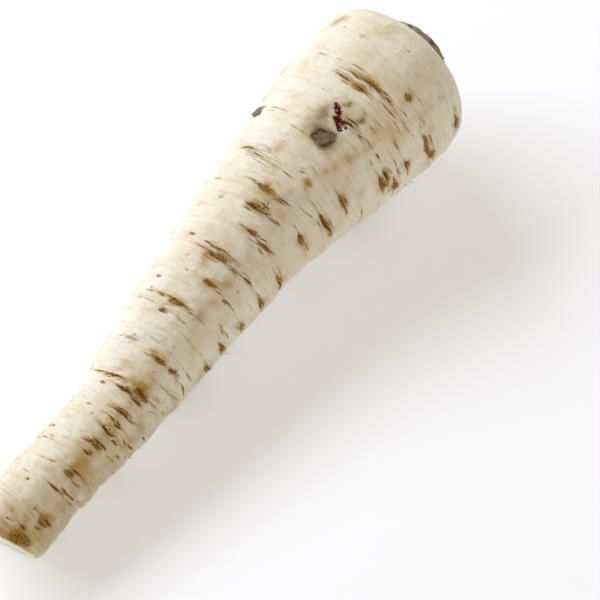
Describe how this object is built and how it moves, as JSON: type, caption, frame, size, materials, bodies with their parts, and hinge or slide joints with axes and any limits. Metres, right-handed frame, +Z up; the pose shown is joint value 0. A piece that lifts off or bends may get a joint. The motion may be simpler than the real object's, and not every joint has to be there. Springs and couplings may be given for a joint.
{
  "type": "parsley root",
  "caption": "Tapered pale root vegetable with a broad rounded shoulder, a slanted trimmed tip and a short dry crown of leaf-stalk bases, lying on its side.",
  "frame": {"origin": "middle of the lying root's base: the centre of its bounding box, on the surface that it rests on", "axes": "+X along the root from the trimmed tip to the crown, +Z up from the surface that it rests on"},
  "size_m": [0.1929, 0.0506, 0.0495],
  "materials": {
    "root_skin": "fresh cream-white root skin, satin and slightly waxy, with brown scars and wrinkles",
    "dry_stalk": "dry, fibrous, grey-brown leaf-stalk bases, matte"
  },
  "bodies": {
    "root": {"root": "root_skin", "leaf_stalk_crown": "dry_stalk"}
  },
  "joints": []
}
